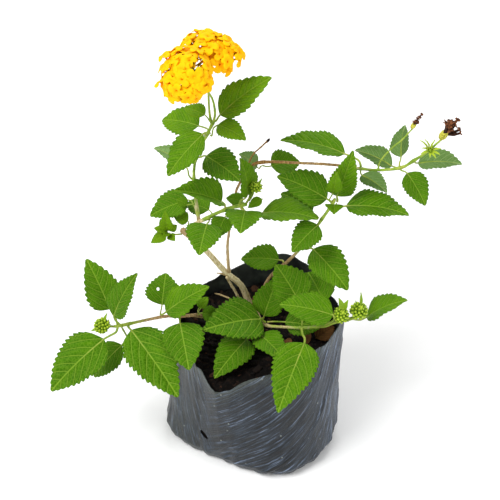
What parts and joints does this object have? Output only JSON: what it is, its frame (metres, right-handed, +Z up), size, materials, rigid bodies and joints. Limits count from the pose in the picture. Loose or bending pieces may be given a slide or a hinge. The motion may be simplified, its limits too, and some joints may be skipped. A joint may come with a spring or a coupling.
{
  "type": "potted lantana",
  "caption": "Bushy young lantana with toothed, quilted leaves, arching side branches and domed yellow flower heads, rooted in a black polythene nursery bag of soil.",
  "frame": {"origin": "middle of the bag's flat base, on the surface that it stands on", "axes": "+Z up; +X to the viewer's right in the picture; -Y towards the viewer, the side of the bag with the dip in its rim"},
  "size_m": [0.2293, 0.115, 0.2697],
  "materials": {
    "polythene": "creased black film with a soft sheen",
    "soil": "crumbly potting soil with bark bits",
    "bark": "matte woody stem",
    "green_stem": "finely hairy green stem",
    "leaf": "rough quilted leaf with a low sheen",
    "petal": "matte petal",
    "bud": "matte unopened buds",
    "dead_flower": "dry and shrivelled"
  },
  "bodies": {
    "root": {"bag": "polythene", "branch_front": "green_stem", "branch_left": "green_stem", "branch_right": "bark", "bud_front": "bud", "bud_left": "bud", "bud_right": "bud", "bud_shoot": "bud", "bud_tip": "bud", "dead_head_inner": "dead_flower", "dead_head_outer": "dead_flower", "flower_head_lower": "petal", "flower_head_upper": "petal", "leaf_apex_front": "leaf", "leaf_branch_left": "leaf", "leaf_branch_right": "leaf", "leaf_front_low": "leaf", "leaf_front_right": "leaf", "leaf_left_front": "leaf", "leaf_left_inner": "leaf", "leaf_left_low": "leaf", "leaf_left_small": "leaf", "leaf_mid_front": "leaf", "leaf_mid_left": "leaf", "leaf_mid_right": "leaf", "leaf_mid_under": "leaf", "leaf_right_back": "leaf", "leaf_right_low": "leaf", "leaf_side_back": "leaf", "leaf_stub": "leaf", "leaf_top_front": "leaf", "leaves_apex_a": "leaf", "leaves_apex_b": "leaf", "leaves_branch_a": "leaf", "leaves_branch_b": "leaf", "leaves_branch_c": "leaf", "leaves_bud_a": "leaf", "leaves_bud_b": "leaf", "leaves_front_a": "leaf", "leaves_front_b": "leaf", "leaves_front_c": "leaf", "leaves_front_d": "leaf", "leaves_left_a": "leaf", "leaves_left_b": "leaf", "leaves_left_c": "leaf", "leaves_mid_a": "leaf", "leaves_right_a": "leaf", "leaves_top_a": "leaf", "leaves_top_b": "leaf", "rosette_stub": "leaf", "soil": "soil", "stem_main": "bark", "stem_right": "bark", "stem_thin": "bark"}
  },
  "joints": []
}
